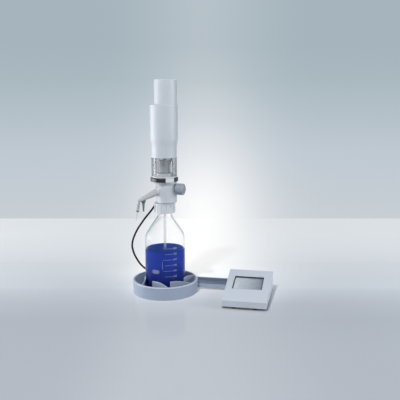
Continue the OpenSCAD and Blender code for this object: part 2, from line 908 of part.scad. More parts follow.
// Glass bottle with a conical shoulder and beaded neck
module bottle() {
    outside = concat(
        [[0, bottle_z + punt], [punt_r, bottle_z + punt], [punt_r + punt, bottle_z]],
        arc([bottle_r - foot_round, bottle_z + foot_round], foot_round, -90, 0, 6),
        shoulder(0),
        [for (i = [0:bead_count - 1]) each let (z = bead_from + i * bead_pitch) [
            [neck_r, z], [bead_r, z + bead_edge], [bead_r, z + bead_h - bead_edge], [neck_r, z + bead_h]]],
        [[neck_r, bottle_top]]);
    inside = concat([[0, inner_floor]], inner_corner(0), shoulder(bottle_wall),
        [[neck_r - bottle_wall, bottle_top]]);
    color(glass_clear) rotate_extrude() polygon(concat(outside, reversed(inside)));
}

// Reagent, with room for the dip tube
module liquid() {
    g = 0.1;
    color([0.05, 0.10, 0.65, 0.8]) difference() {
        rotate_extrude() polygon(concat([[0, inner_floor + g]], inner_corner(g),
            [[bottle_in - g, fill_z], [0, fill_z]]));
        rod(dip_lower_r + clear, dip_lower_z - dip_room, bottle_h);
    }
}

// Fluted screw collar
module collar() {
    color(block_grey) difference() {
        rod(collar_r, collar_z, collar_h);
        rod(collar_bore, collar_z - cut, lip_z - collar_z + cut);
        rod(hub_r + run, collar_z, collar_h + cut);
        for (i = [0:flute_count - 1]) rotate(360 * i / flute_count)
            translate([collar_r + flute_r - flute_depth, 0, 0])
                rod(flute_r, collar_z - cut, collar_h - collar_lip + cut);
    }
}

// Ring under the block's hub that holds the collar up and seats on the bottle
module collar_retainer() {
    color(block_grey) tube(retainer_r, seat_r + seat, retainer_z, retainer_t);
}

// Flat gasket on the bottle's lip
module bottle_gasket() {
    color(dark_grey) tube(neck_r, gasket_in, bottle_top, gasket_t);
}

// Valve block: hub for the collar, flange for the cylinder, spout boss and the flow bores
module valve_block() {
    color(block_grey) on_head() difference() {
        union() {
            translate([block_shift, 0, block_z]) rotate_extrude() polygon([
                [0, 0], [block_r - block_chamfer, 0], [block_r, block_chamfer],
                [block_r, block_h], [0, block_h]]);
            rod(hub_r, hub_z, block_chamfer);
            rod(spigot_r + block_rim, block_top - block_flange, block_flange);
            along_spout(boss_from) cylinder(r = boss_r, h = boss_bend - boss_from);
            along_spout(boss_bend) cylinder(r1 = boss_r, r2 = spout_root_r + boss_rim,
                h = spout_start - boss_bend);
        }
        rod(seat_r + seat, hub_z - cut, chamber_top - hub_z + cut);
        rod(flow_r, chamber_top - cut, block_h);
        translate([0, 0, plug_z]) rod_x(plug_r + run, -plug_back - cut, block_face + block_r);
        along_spout(0) cylinder(r = flow_r, h = spout_start);
        along_spout(cartridge_from) cylinder(r = spout_socket_r + seat, h = spout_start);
    }
}

// Sleeve with the ball's seat on top and the dip tube's socket below
module valve_seat() {
    color(steel) difference() {
        rod(seat_r, retainer_z, seat_top - retainer_z);
        rod(dip_r + seat, retainer_z - cut, dip_top - retainer_z + cut);
        rod(seat_bore, retainer_z, block_h);
    }
}

// Ball that lets liquid up and not down
module suction_ball() {
    color(steel) translate([0, 0, ball_z]) sphere(r = ball_r);
}

// Three-way plug on the knob's stem
module valve_plug() {
    color(steel) on_head() difference() {
        translate([0, 0, plug_z]) {
            rod_x(plug_r, -plug_back, plug_back + block_face - plug_recess);
            rod_x(stem_r, 0, block_face + stem_l);
        }
        rod(port_r, plug_z - plug_r - cut, 2 * (plug_r + cut));
        along_spout(0) cylinder(r = port_r, h = 2 * plug_r);
    }
}

// Round knob with soft edges and a dished face
module valve_knob() {
    dish = 1;
    hole = stem_l - knob_gap + clear;
    color(knob_grey) on_head() translate([knob_x, 0, plug_z]) rotate([0, 90, 0]) rotate_extrude()
        polygon([
            [0, hole], [stem_r + seat, hole], [stem_r + seat, 0], [knob_r - knob_edge, 0],
            [knob_r, knob_edge_l], [knob_r, knob_l - knob_edge_l], [knob_r - knob_edge, knob_l],
            [knob_r - knob_edge - dish, knob_l - dish], [0, knob_l - dish]]);
}

// Discharge valve, a closed cartridge with a flow bore
module discharge_valve() {
    color(steel) on_head() along_spout(cartridge_from) difference() {
        cylinder(r = spout_socket_r, h = cartridge_l);
        translate([0, 0, -cut]) cylinder(r = spout_bore, h = cartridge_l + 2 * cut);
    }
}

// Upper dip tube
module dip_tube() {
    z = dip_lower_top - dip_overlap;
    color(shell_white) tube(dip_r, dip_r - dip_wall, z, dip_top - z);
}

// Lower dip tube, which slides on the upper one
module dip_tube_lower() {
    color(shell_white) tube(dip_lower_r, dip_lower_bore, dip_lower_z, dip_lower_l);
}

// Sloping arm with its plug-in root, elbow, nozzle stub and the cap's peg
module discharge_arm() {
    root = cartridge_from + cartridge_l;
    stub_end = nozzle_top - stub_l;
    color(spout_grey) difference() {
        union() {
            on_head() along_spout(root) cylinder(r = spout_socket_r, h = spout_start - root);
            on_head() along_spout(spout_start)
                cylinder(r1 = spout_root_r, r2 = spout_end_r, h = spout_l - spout_start);
            at_elbow() sphere(r = elbow_r);
            at_elbow() rod(stub_r, stub_end, -stub_end);
            on_spout() translate([-cap_x, 0, 0]) rod(peg_r, cap_under - peg_l, peg_l + cap_spout_r);
        }
        on_head() along_spout(root - cut) cylinder(r = spout_bore, h = spout_l - root + cut);
        at_elbow() sphere(r = elbow_bore);
        at_elbow() rod(spout_bore, stub_end - cut, cut - stub_end);
    }
}

// Sleeve over the stub, narrowed at its foot to hold the capillary
module nozzle() {
    color(spout_grey) at_elbow() difference() {
        rod(nozzle_r, nozzle_z, nozzle_l);
        rod(stub_r + seat, nozzle_z + nozzle_foot, nozzle_l);
        rod(capillary_head_r + seat, nozzle_z - cut, nozzle_l);
        sphere(r = elbow_r + seat);
    }
}

// Dark band round the nozzle's foot
module nozzle_band() {
    color(dark_grey) at_elbow()
        tube(nozzle_r + seat + band_t, nozzle_r + seat, nozzle_z + band_rise, band_h);
}

// Fine tube with a thicker head that sits in the nozzle's foot
module capillary() {
    color(glass_clear) at_elbow() {
        tube(capillary_r, capillary_bore, nozzle_z - capillary_l, capillary_l);
        tube(capillary_head_r, capillary_bore, nozzle_z, nozzle_foot);
    }
}

// Tapered cap on the arm's peg, its head cut to the arm's slope
module tip_cap() {
    head_z = cap_under - cap_head_h;
    color(dark_grey) on_spout() translate([-cap_x, 0, 0]) difference() {
        rotate_extrude() polygon([
            [0, cap_z], [cap_tip_r, cap_z], [cap_neck_r, head_z], [cap_head_r, cap_under - cap_rim],
            [cap_head_r, cap_under + cap_rim], [0, cap_under + cap_rim]]);
        rod(peg_r + run, cap_under - peg_l - cut, peg_l + cap_l);
        translate([0, 0, cap_under - clear]) rotate([0, -cap_tilt, 0])
            translate([-cap_l, -cap_l, 0]) cube(2 * cap_l);
    }
}

// Base of the dosing cylinder: spigot, flange, barrel seat and filling boss
module barrel_base() {
    color(shell_white) on_head() difference() {
        union() {
            rod(spigot_r, block_top, flange_z - block_top);
            rod(sleeve_r, flange_z, flange_t);
            tube(barrel_boss_r, barrel_r + seat, barrel_z - cut, barrel_boss_h + cut);
            rod(barrel_boss_r, flange_z, barrel_z - flange_z);
            rod(fill_boss_r, flange_z, barrel_z + fill_boss_h - flange_z);
        }
        rod(flow_r, block_top - cut, block_h);
        at_guides() rod(guide_r + seat, sleeve_z - rod_seat, block_h);
    }
}

// Place of the release button, X pointing out of the lock ring
module at_button() {
    rotate(button_angle) children();
}

// Bayonet ring with the button's pocket
module lock_ring() {
    pocket_w = button_w + 2 * clear;
    color(black) on_head() difference() {
        rotate_extrude() polygon([
            [lock_bore, lock_z], [lock_r - edge, lock_z], [lock_r, lock_z + edge],
            [lock_r, lock_z + lock_h - edge], [lock_r - edge, lock_z + lock_h],
            [lock_bore, lock_z + lock_h]]);
        at_button() translate([lock_bore + lock_wall, -pocket_w / 2, lock_z - cut])
            cube([lock_r, pocket_w, lock_h + 2 * cut]);
    }
}

// Release button, an arc of the ring's own outline
module lock_button() {
    color(shell_white) on_head() intersection() {
        rod(lock_r, lock_z + clear, lock_h - 2 * clear);
        at_button() translate([button_in, -button_w / 2, lock_z]) cube([lock_r, button_w, lock_h]);
    }
}

// Clear sleeve round the cylinder
module clear_sleeve() {
    color(glass_clear) tube(sleeve_r, sleeve_in, sleeve_z, sleeve_h);
}

// Glass barrel that the piston runs in
module glass_barrel() {
    color(glass_clear) tube(barrel_r, barrel_in, barrel_z, barrel_top - barrel_z);
}

// Disc on the guide rods that holds the barrel's upper end
module barrel_holder() {
    color(block_grey) on_head() difference() {
        tube(housing_low_in - clear, barrel_r + seat, holder_z, holder_t);
        at_guides() rod(guide_r + seat, holder_z - cut, holder_t + 2 * cut);
    }
}

// Piston with the seal's groove and the rod's socket
module piston() {
    color(knob_grey) difference() {
        rod(piston_r, piston_z, piston_l);
        tube(barrel_r, seal_in, seal_z, seal_h);
        rod(rod_r + seat, rod_z, piston_l);
    }
}

// Seal ring in the piston's groove
module piston_seal() {
    color(shell_white) tube(seal_r, seal_in + seat, seal_z + seat, seal_h - 2 * seat);
}

// Hollow rod, open at the top for the lead screw
module piston_rod() {
    color(steel) difference() {
        rod(rod_r, rod_z, carriage_z - rod_z);
        rod(rod_bore, rod_z + rod_floor, carriage_z - rod_z);
    }
}

// Bridge that rides the guide rods and carries nut and piston rod
module carriage() {
    color(steel) on_head() difference() {
        union() {
            rod(carriage_hub_r, carriage_z, carriage_t);
            at_guides() rod(carriage_ear_r, carriage_z, carriage_t);
            translate([-guide_x, -carriage_ear_r, carriage_z])
                cube([2 * guide_x, 2 * carriage_ear_r, carriage_t]);
        }
        rod(rod_bore, carriage_z - cut, carriage_t + 2 * cut);
        at_guides() rod(guide_r + bush_wall + seat, carriage_z - cut, carriage_t + 2 * cut);
    }
}

// Flanged bushes in the carriage's ears
module guide_bushes() {
    color([0.72, 0.55, 0.30]) on_head() at_guides() {
        tube(guide_r + bush_wall, guide_r + run, carriage_z, carriage_t);
        tube(guide_r + bush_wall + bush_rim, guide_r + run, carriage_z + carriage_t, bush_flange);
    }
}

// Flanged nut on the carriage
module drive_nut() {
    color([0.72, 0.55, 0.30]) difference() {
        union() {
            rod(nut_flange_r, nut_z, nut_flange_t);
            rod(nut_r, nut_z, nut_l);
        }
        rod(screw_r + run, nut_z - cut, nut_l + 2 * cut);
    }
}

// Two rods from the cylinder's base to the drive plate
module guide_rods() {
    z = sleeve_z - rod_seat;
    color(steel) on_head() at_guides() rod(guide_r, z, plate_z + plate_t / 2 - z);
}

// Plate on top of the guide rods, with the bearing's pocket
module drive_plate() {
    color(steel) on_head() difference() {
        rod(housing_in - clear, plate_z, plate_t);
        rod(bearing_r + seat, plate_z + plate_lip, plate_t);
        rod(screw_r + plate_gap, plate_z - cut, plate_t);
        at_guides() rod(guide_r + seat, plate_z - cut, plate_t / 2 + cut);
    }
}

// Ball bearing as a plain ring
module screw_bearing() {
    color(steel) tube(bearing_r, screw_r + run, plate_z + plate_lip, plate_t - plate_lip);
}

// Lead screw from inside the piston rod up into the coupling
module lead_screw() {
    z = carriage_z + screw_end;
    color(steel) rod(screw_r, z, coupling_z + coupling_half - z);
}

// Coupling of the screw and the motor's shaft
module shaft_coupling() {
    color(steel) difference() {
        rod(coupling_r, coupling_z, coupling_l);
        rod(screw_r + seat, coupling_z - cut, coupling_half + cut);
        rod(shaft_r + seat, coupling_z, coupling_l + cut);
    }
}

// Motor shaft, down into the coupling
module motor_shaft() {
    z = coupling_z + coupling_half + shaft_gap;
    color(steel) rod(shaft_r, z, motor_z + shaft_in - z);
}

// Motor can with its front boss and the shaft's bore
module drive_motor() {
    color(dark_grey) difference() {
        union() {
            rod(motor_boss_r, motor_plate_z, motor_plate_t);
            rod(motor_r, motor_z, motor_l);
        }
        rod(shaft_r + run, motor_plate_z - cut, motor_plate_t + shaft_in + 2 * cut);
    }
}

// Plate that carries the motor and, on its tab, the circuit board
module motor_plate() {
    color(steel) on_head() difference() {
        union() {
            rod(motor_plate_r, motor_plate_z, motor_plate_t);
            translate([0, -circuit_tab.y / 2, motor_plate_z])
                cube([circuit_x + circuit_tab.x, circuit_tab.y, motor_plate_t]);
        }
        rod(motor_boss_r + seat, motor_plate_z - cut, motor_plate_t + 2 * cut);
    }
}

// Four pillars between the plates
module motor_standoffs() {
    color(steel) on_head() for (x = [-standoff_xy, standoff_xy], y = [-standoff_xy, standoff_xy])
        translate([x, y, 0]) rod(standoff_r, plate_top, motor_plate_z - plate_top);
}

// Circuit board beside the motor, with its chips
module drive_board() {
    color(board_green) on_head() translate([circuit_x, 0, motor_z]) {
        translate([0, -circuit_w / 2, 0]) cube([board_t, circuit_w, circuit_h]);
        for (i = [0:chip_count - 1])
            translate([-chip.x, -chip.y / 2, chip_rise + chip_pitch * i]) cube(chip);
    }
}

// Tapered housing with a gland boss at the back and an opening for the motor on top
module drive_housing() {
    color(shell_white) on_head() difference() {
        union() {
            difference() {
                rotate_extrude() polygon([
                    [0, housing_z], [housing_low_r, housing_z], [housing_low_r, taper_z],
                    [housing_r, taper_top], [housing_r, housing_top - edge],
                    [housing_r - edge, housing_top], [0, housing_top]]);
                rotate_extrude() polygon([
                    [0, housing_z - cut], [housing_low_in, housing_z - cut], [housing_low_in, taper_z],
                    [housing_in, taper_top], [housing_in, housing_top - housing_wall],
                    [0, housing_top - housing_wall]]);
            }
            translate([0, 0, gland_z]) rod_y(gland_boss_r, gland_boss_in, gland_face - gland_boss_in);
        }
        translate([cover_shift, 0, 0]) rod(cover_in, housing_top - 2 * housing_wall, 3 * housing_wall);
        translate([0, 0, gland_z]) rod_y(gland_thread_r + seat, gland_boss_in - cut, gland_face);
    }
}

// Upper cover with a lip inside the housing's opening
module top_cover() {
    lip_r = cover_in - clear;
    color(shell_white) on_head() translate([cover_shift, 0, housing_top]) rotate_extrude() polygon([
        [lip_r, -cover_lip_h], [lip_r, 0], [cover_r, 0], [cover_r, cover_h - edge],
        [cover_r - edge, cover_h], [0, cover_h], [0, cover_h - housing_wall],
        [cover_in, cover_h - housing_wall], [cover_in, cover_lip_h],
        [lip_r - cover_lip_t, cover_lip_h], [lip_r - cover_lip_t, -cover_lip_h]]);
}

// Gland in the housing's boss, with a boot that the cable meets
module cable_gland() {
    color(black) on_head() translate([0, 0, gland_z]) {
        rod_y(gland_thread_r, gland_boss_in - gland_nut_t, gland_face - gland_boss_in + gland_nut_t);
        rod_y(gland_flange_r, gland_face, gland_flange_t);
        translate([0, gland_face + gland_flange_t, 0]) rotate([-90, 0, 0])
            cylinder(r1 = gland_thread_r, r2 = cable_d / 2 + boot_wall, h = gland_boot_l);
    }
}

// Hexagon nut behind the boss
module gland_nut() {
    color(black) on_head() translate([0, gland_boss_in - gland_nut_t, gland_z]) rotate([-90, 0, 0])
        difference() {
            cylinder(r = gland_boss_r, h = gland_nut_t, $fn = 6);
            translate([0, 0, -cut]) cylinder(r = gland_thread_r + seat, h = gland_nut_t + 2 * cut);
        }
}

// Free cable from the head to the arm
module cable() {
    color(black) swept_tube(cable_route, cable_d, cable_sides, cable_step);
}

stand_ring();
base_mat();
centring_insert();
arm_channel();
arm_cover();
arm_gland();
duct_lead();
console_base();
console_top();
touch_glass();
display_panel();
control_board();
console_feet();
status_light();
power_socket();
bottle();
liquid();
collar();
collar_retainer();
bottle_gasket();
valve_block();
valve_seat();
suction_ball();
valve_plug();
valve_knob();
discharge_valve();
dip_tube();
dip_tube_lower();
discharge_arm();
nozzle();
nozzle_band();
capillary();
tip_cap();
barrel_base();
lock_ring();
lock_button();
clear_sleeve();
glass_barrel();
barrel_holder();
piston();
piston_seal();
piston_rod();
carriage();
guide_bushes();
drive_nut();
guide_rods();
drive_plate();
screw_bearing();
lead_screw();
shaft_coupling();
motor_shaft();
drive_motor();
motor_plate();
motor_standoffs();
drive_board();
drive_housing();
top_cover();
cable_gland();
gland_nut();
cable();
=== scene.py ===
import json
from math import atan2, cos, pi, radians, sin, tan

import bmesh
import bpy
from mathutils import Matrix, Vector

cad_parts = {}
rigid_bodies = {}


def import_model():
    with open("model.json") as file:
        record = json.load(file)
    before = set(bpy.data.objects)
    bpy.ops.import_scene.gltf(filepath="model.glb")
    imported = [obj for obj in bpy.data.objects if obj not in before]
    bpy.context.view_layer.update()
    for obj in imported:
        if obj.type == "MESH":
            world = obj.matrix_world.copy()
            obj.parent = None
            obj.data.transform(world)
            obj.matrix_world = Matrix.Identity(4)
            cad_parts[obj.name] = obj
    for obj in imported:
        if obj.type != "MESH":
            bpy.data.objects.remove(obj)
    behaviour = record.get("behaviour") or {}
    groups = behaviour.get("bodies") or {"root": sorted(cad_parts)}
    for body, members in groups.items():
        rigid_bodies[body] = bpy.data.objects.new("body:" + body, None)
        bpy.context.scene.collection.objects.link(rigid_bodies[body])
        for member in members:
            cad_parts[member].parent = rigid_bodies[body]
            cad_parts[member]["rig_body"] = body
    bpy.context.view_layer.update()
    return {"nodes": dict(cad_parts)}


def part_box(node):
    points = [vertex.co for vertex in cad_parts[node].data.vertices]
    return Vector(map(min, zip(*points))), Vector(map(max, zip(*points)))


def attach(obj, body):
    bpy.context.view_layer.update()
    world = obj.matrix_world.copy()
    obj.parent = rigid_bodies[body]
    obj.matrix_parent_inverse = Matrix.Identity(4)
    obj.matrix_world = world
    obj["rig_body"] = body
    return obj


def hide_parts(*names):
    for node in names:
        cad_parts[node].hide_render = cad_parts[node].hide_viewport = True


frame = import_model()
scene = bpy.context.scene
scene.view_settings.view_transform = "Standard"

# Camera
# It stands 1.4 m in front of the bottle, 0.47 m above the table and a little to the right, as the
# photograph's did. The lens looks down by ten degrees, with no shift.
camera = bpy.data.objects.new("camera", bpy.data.cameras.new("camera"))
scene.collection.objects.link(camera)
view_turn = radians(11.2)
camera.location = (0.3552, -1.3376, 0.4706)
camera.rotation_euler = (radians(80.3), 0, view_turn)
camera.data.sensor_width = 36
camera.data.lens = 50.35
scene.camera = camera


# Table, backdrop and lamps
# A pale polished table top in front of a grey-blue backdrop, with a white glow on both behind the
# bottle. A wide soft panel stands to the left, a small one hangs high in front and throws the
# shadows, and a weaker one fills from the right.
class Wire:
    """A node's socket. Operators on it add Math nodes, and node() adds any other node."""

    def __init__(self, socket):
        self.socket = socket

    def node(self, kind, settings=None, out=0, **values):
        tree = self.socket.id_data
        made = tree.nodes.new("ShaderNode" + kind)
        for name, value in (settings or {}).items():
            if name == "stops":
                stops = made.color_ramp.elements
                while len(stops) < len(value):
                    stops.new(1)
                for stop, (place, colour) in zip(stops, value):
                    stop.position = place
                    stop.color = (*colour, 1)
            else:
                setattr(made, name, value)
        for name, value in values.items():
            put(made, name, value)
        return Wire(made.outputs[out])

    def maths(self, operation, a, b):
        return self.node("Math", {"operation": operation}, i0=a, i1=b)

    def __add__(self, other):
        return self.maths("ADD", self, other)

    def __sub__(self, other):
        return self.maths("SUBTRACT", self, other)

    def __rsub__(self, other):
        return self.maths("SUBTRACT", other, self)

    def __mul__(self, other):
        return self.maths("MULTIPLY", self, other)

    def __gt__(self, other):
        return self.maths("GREATER_THAN", self, other)

    def __lt__(self, other):
        return self.maths("LESS_THAN", self, other)

    __radd__ = __add__

    def blend(self, a, b):
        """Colour a where this is 0 and b where it is 1."""
        return self.node("Mix", {"data_type": "RGBA"}, 2, i0=self, i6=a, i7=b)


def put(made, name, value):
    """A number, colour or Wire on the input of a node, by its name or as i and its index."""
    target = made.inputs[int(name[1:]) if name[1:].isdigit() else name.replace("_", " ")]
    if isinstance(value, Wire):
        made.id_data.links.new(value.socket, target)
    elif target.type == "RGBA" and len(value) == 3:
        target.default_value = (*value, 1)
    else:
        target.default_value = value


def begin(name):
    """A new material and a Wire on its Object coordinates."""
    made = bpy.data.materials.new(name)
    made.use_nodes = True
    return made, Wire(made.node_tree.nodes.new("ShaderNodeTexCoord").outputs["Object"])


def dress(made, **values):
    """The values on the material's main shader."""
    for name, value in values.items():
        put(made.node_tree.nodes["Principled BSDF"], name, value)
    return made


def placed(name, bm, material):
    """A new object from a bmesh that is already in place."""
    mesh = bpy.data.meshes.new(name)
    bm.to_mesh(mesh)
    bm.free()
    made = bpy.data.objects.new(name, mesh)
    scene.collection.objects.link(made)
    mesh.materials.append(material)
    return made


def along(point, direction):
    """How far a point lies along a direction."""
    return point.node("VectorMath", {"operation": "DOT_PRODUCT"}, 1, i0=point, i1=direction)


def shown_by(camera_rays):
    """One for what the camera, a mirror or a glass shows, and nought for what lights the object."""
    kinds = camera_rays.socket.node.outputs
    both = camera_rays.maths("MAXIMUM", camera_rays, Wire(kinds["Is Glossy Ray"]))
    return both.maths("MAXIMUM", both, Wire(kinds["Is Transmission Ray"]))


def bell(x, centre, width):
    """A smooth hump of height one about the centre."""
    off = (x - centre) * (1 / width)
    return off.maths("EXPONENT", off * off * -0.5, 0)


def ramp(factor, stops):
    """A colour, or a grey from one number, that changes with the factor."""
    colours = [(place, tone if isinstance(tone, tuple) else (tone,) * 3) for place, tone in stops]
    return factor.node("ValToRGB", {"stops": colours}, Fac=factor)


rightward, rearward = (0.981, 0.194, 0), (-0.194, 0.981, 0)
table_top, point = begin("table_top")
across = along(point, rightward)
depth = along(point, rearward) + 0.2
# The floor's own colour is graded with depth as painted light: palest round the bottle and the
# console, darker far back, where the painted glow of the emission takes over.
painted_floor_grade = ramp(depth, (
    (0.0, (0.57, 0.595, 0.63)), (0.1, (0.64, 0.665, 0.70)), (0.22, (0.79, 0.81, 0.84)),
    (0.34, (0.60, 0.61, 0.62)), (0.45, (0.32, 0.325, 0.33)), (0.6, (0.28, 0.285, 0.29))))
far = ramp(depth, (
    (0.0, 0.0), (0.12, 0.0), (0.2, (0.01, 0.015, 0.02)), (0.33, (0.17, 0.185, 0.20)),
    (0.46, (0.39, 0.41, 0.435)), (0.6, (0.46, 0.48, 0.50)), (0.8, (0.50, 0.515, 0.53)),
    (1.0, (0.51, 0.52, 0.53))))
reach = ramp(depth, (
    (0.0, 0.1), (0.1, 0.1), (0.2, 0.3), (0.33, 0.65), (0.46, 0.9), (0.6, 0.96), (1.0, 1.0)))
# The emission, shown only to camera, mirror and glass rays, is a painted glow on the table behind
# the bottle.
glare = bell(across, 0.10, 0.13) + bell(across, -0.03, 0.06) * 0.4
tone = (reach * glare).blend(far, (0.78, 0.76, 0.74))
cloud = point.node("TexNoise", Vector=point, Scale=9, Detail=2)
dress(table_top, Base_Color=(cloud * 0.08).blend(painted_floor_grade, (0.45, 0.46, 0.48)),
      Roughness=0.06 + cloud * 0.05, Specular_IOR_Level=0.12,
      Emission_Color=shown_by(point.node("LightPath")).blend((0, 0, 0), tone), Emission_Strength=1.0)
half_width, half_depth = 1.4, 0.915
bm = bmesh.new()
bmesh.ops.create_grid(
    bm, x_segments=1, y_segments=1, size=1,
    matrix=Matrix.Rotation(view_turn, 4, "Z") @ Matrix.Diagonal((half_width, half_depth, 1, 1)))
table = placed("table", bm, table_top)
table.location.z = -0.0002

world = bpy.data.worlds.new("studio")
scene.world = world
world.use_nodes = True
backdrop = world.node_tree.nodes["Background"]
ahead = Wire(world.node_tree.nodes.new("ShaderNodeTexCoord").outputs["Generated"])
aside = along(ahead, rightward)
rise = (ahead.node("SeparateXYZ", out=2, Vector=ahead) + 0.2) * (1 / 0.3)
grey = ramp(rise, (
    (0.0, (0.578, 0.624, 0.665)), (0.4, (0.521, 0.584, 0.645)), (0.8, (0.402, 0.485, 0.530)),
    (1.0, (0.380, 0.460, 0.510))))
fade = ramp(rise, (
    (0.0, 1.0), (0.105, 0.94), (0.223, 0.78), (0.4, 0.505), (0.576, 0.32), (0.8, 0.19), (1.0, 0.14)))
glow = (fade * bell(aside, 0.006, 0.070)).blend(grey, (0.99, 0.99, 0.995))
camera_rays = ahead.node("LightPath")
wide = bell(aside, 0, 0.4)
wide = wide.maths("MAXIMUM", wide, camera_rays)
room_light, room_sides = (0.145, 0.16, 0.178), (0.46, 0.49, 0.52)
put(backdrop, "Color", shown_by(camera_rays).blend(room_light, wide.blend(room_sides, glow)))

for name, place, size, power, tint in (
        ("left_panel", (-1.30, -0.08, 0.16), (1.1, 0.8), 12.5, (1.0, 1.0, 1.0)),
        ("key_panel", (-0.26, -1.42, 2.25), (0.16, 0.16), 33, (0.97, 1.0, 1.04)),
        ("right_panel", (1.45, 0.0, 0.60), (1.0, 0.8), 8, (0.94, 0.98, 1.02))):
    lamp = bpy.data.objects.new(name, bpy.data.lights.new(name, "AREA"))
    scene.collection.objects.link(lamp)
    lamp.data.shape = "RECTANGLE"
    lamp.data.size, lamp.data.size_y = size
    lamp.data.energy = power
    lamp.data.color = tint
    lamp.location = place
    aim = Vector((0.05, 0, 0.25)) - Vector(place)
    lamp.rotation_euler = aim.to_track_quat("-Z", "Y").to_euler()
    lamp.visible_camera = False


# Cable
# A round 5 mm control cable in a soft black jacket. It leaves the head's gland, hangs in one bow
# to the left behind the bottle and lies on the table until it goes into the arm's grommet.
def jacket(name, colour, roughness, grain):
    """Soft black rubber: dusty, with a fine pebbled skin."""
    made, point = begin(name)
    dust = point.node("TexNoise", Vector=point, Scale=140, Detail=4, Roughness=0.7)
    skin = point.node("TexNoise", Vector=point, Scale=grain, Detail=2)
    return dress(made, Base_Color=(dust * 0.8).blend(colour, [c * 1.9 + 0.01 for c in colour]),
                 Roughness=roughness + dust * 0.15,
                 Normal=skin.node("Bump", Strength=0.25, Distance=0.0002, Height=skin))


rubber = dress(jacket("black_rubber", (0.004, 0.004, 0.005), 0.62, 2600), Specular_IOR_Level=0.25)
cable_d = 0.005
out = Vector((0.197657, 0.980271, 0))
gland_tip = out * 0.0514 + Vector((0, 0, 0.354))
route = [gland_tip, gland_tip + out * 0.005] + [Vector(p) * 0.001 for p in (
    (10.5, 66, 352.5), (6, 75.5, 346), (0, 81, 335), (-6, 82, 321), (-11.5, 80, 305), (-16, 76, 287),
    (-20, 71, 268), (-25, 64, 246), (-43, 53, 207), (-74, 55, 167), (-97, 56, 130), (-107, 60, 100),
    (-106, 65, 80), (-98, 71, 57), (-83, 78, 34), (-58, 93, 14), (-20, 106, 4.5), (30, 108, 3),
    (70, 100, 3.2), (92, 87, 6), (97, 74, 9.25), (97, 69, 9.25))]
curve = bpy.data.curves.new("control_cable", "CURVE")
curve.dimensions = "3D"
curve.bevel_depth = cable_d / 2
curve.bevel_resolution = 5
curve.resolution_u = 8
curve.use_fill_caps = True
spline = curve.splines.new("BEZIER")
spline.bezier_points.add(len(route) - 1)
for knot, place in zip(spline.bezier_points, route):
    knot.co = place
    knot.handle_left_type = knot.handle_right_type = "AUTO"
curve.materials.append(rubber)
cable = bpy.data.objects.new("control_cable", curve)
scene.collection.objects.link(cable)
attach(cable, "base")
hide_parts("cable")


# Stand
# An injection-moulded ring in light blue-grey with a floor, a black rubber mat under the bottle and
# a drop-in liner whose seven curved fins spring against the bottle.
def moulded(name, colour, roughness, grain=900, painted_light_height=None, above=None):
    """Moulded plastic: a slow drift of tone, a fine grain and uneven gloss. Above a given height it
    has another tone, or a paler one: painted highlight on a lit top, or painted shade below."""
    made, point = begin(name)
    drift = point.node("TexNoise", Vector=point, Scale=14, Detail=3, Roughness=0.55)
    grains = point.node("TexNoise", Vector=point, Scale=grain, Detail=3, Roughness=0.6)
    low, high = [[c * k for c in colour] for k in (0.955, 1.03)]
    tone = (drift * 0.75 + grains * 0.25).blend(low, high)
    # Painted light: a paler tone above the height, or a dark band of painted shade below it.
    if painted_light_height:
        height = point.node("SeparateXYZ", out=2, Vector=point)
        tone = (height > painted_light_height).blend(tone, above or [0.5 + 0.5 * c for c in colour])
    return dress(made, Base_Color=tone, Roughness=roughness - 0.06 + drift * 0.06 + grains * 0.08,
                 Normal=grains.node("Bump", Strength=0.12, Distance=0.00015, Height=grains))


def softened(node, name, edge, material, segments=2, corner=28):
    """A copy of a CAD node with its sharp edges rounded, as a mould leaves them."""
    source = frame["nodes"][node]
    bm = bmesh.new()
    bm.from_mesh(source.data)
    bmesh.ops.remove_doubles(bm, verts=bm.verts, dist=2e-6)
    bmesh.ops.dissolve_limit(bm, angle_limit=radians(0.6), verts=bm.verts, edges=bm.edges)
    sharp = [e for e in bm.edges if e.is_manifold and e.calc_face_angle() > radians(corner)]
    bmesh.ops.bevel(bm, geom=sharp, offset=edge, offset_type="OFFSET", affect="EDGES",
                    segments=segments, profile=0.5, material=-1, clamp_overlap=True)
    piece = placed(name, bm, material)
    piece.data.shade_smooth()
    piece.data.set_sharp_from_angle(angle=radians(50))
    piece.modifiers.new("even", "WEIGHTED_NORMAL").keep_sharp = True
    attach(piece, source["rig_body"])
    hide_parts(node)
    return piece


def finish_node(material, *nodes):
    """CAD nodes whose shape is right keep it and take a material."""
    for node in nodes:
        for slot in frame["nodes"][node].material_slots:
            slot.material = material


stand_colour = (0.45, 0.51, 0.64)
# The ring above 30.2 mm and the fins' top edges are paler: painted highlight where the light from
# above falls on them.
softened("stand_ring", "stand_bowl", 0.0005, moulded("stand_grey", stand_colour, 0.32, painted_light_height=0.0302))
fin_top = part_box("centring_insert")[1][2]
softened("centring_insert", "fin_liner", 0.0004,
         moulded("fin_grey", stand_colour, 0.4, painted_light_height=fin_top - 0.0013))
finish_node(jacket("mat_rubber", (0.010, 0.011, 0.014), 0.6, 1500), "base_mat")

# Arm
# A low channel of the stand's plastic that carries the lead to the console, with a dark strip
# snapped over it and a grommet in its back wall.
softened("arm_channel", "arm_trough", 0.0004, moulded("arm_grey", (0.52, 0.58, 0.70), 0.40))
softened("arm_cover", "arm_strip", 0.0003, moulded("strip_grey", (0.23, 0.27, 0.34), 0.35))
finish_node(rubber, "arm_gland", "duct_lead")

# Console
# A two-part wedge in near-white plastic: lower tray whose lowest band is painted dark as shade
# in the gap over the table, upper shell with the screen's window and the slot of the light bar,
# touch glass in a rubber gasket over the display, rubber feet and a power inlet behind.
console_colour = (0.74, 0.78, 0.84)
softened("console_top", "console_lid", 0.0006,
         moulded("console_white", console_colour, 0.38, grain=1200))
